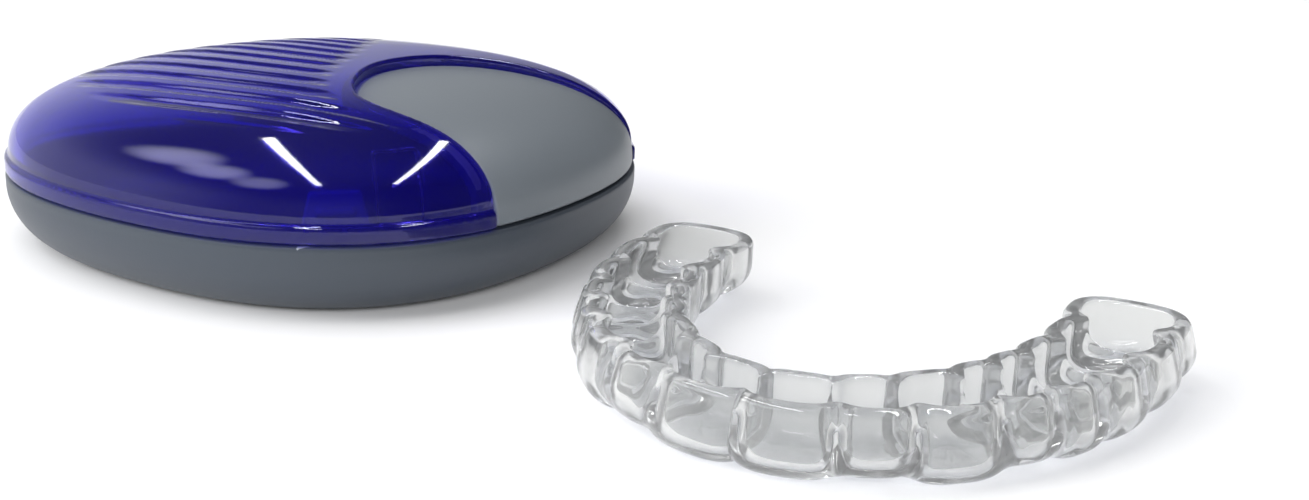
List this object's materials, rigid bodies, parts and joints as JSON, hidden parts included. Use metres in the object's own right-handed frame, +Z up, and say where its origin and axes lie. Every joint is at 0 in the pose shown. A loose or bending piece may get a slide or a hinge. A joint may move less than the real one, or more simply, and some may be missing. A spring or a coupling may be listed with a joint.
{
  "type": "dental mouthguard with storage case",
  "caption": "Clear arch-shaped dental mouthguard with a hinged oval storage case: grey tray base, translucent blue grooved lid and grey lid panel.",
  "frame": {"origin": "centre of the case's flat foot, on the surface that it stands on", "axes": "+Z up; +X along the lid's hinge, to the right of someone facing the catch; -Y towards the catch, +Y towards the hinge"},
  "size_m": [0.1225, 0.1242, 0.0239],
  "materials": {
    "case_grey": "satin",
    "panel_grey": "satin",
    "lid_blue": "gloss",
    "pin_steel": "satin",
    "guard_clear": "gloss"
  },
  "bodies": {
    "base": {"case_base": "case_grey", "hinge_pin": "pin_steel"},
    "lid": {"lid_cover": "lid_blue", "lid_panel": "panel_grey"},
    "guard": {"mouthguard": "guard_clear"}
  },
  "joints": [
    {"name": "lid_hinge", "type": "hinge", "parent": "base", "child": "lid", "pos_m": [0, 0.03625, 0.0091], "axis": [-1, 0, 0], "range_deg": [0, 115]},
    {"name": "mouthguard_lift", "type": "slide", "parent": "base", "child": "guard", "axis": [0, 0, 1], "range_m": [0, 0.06]}
  ]
}
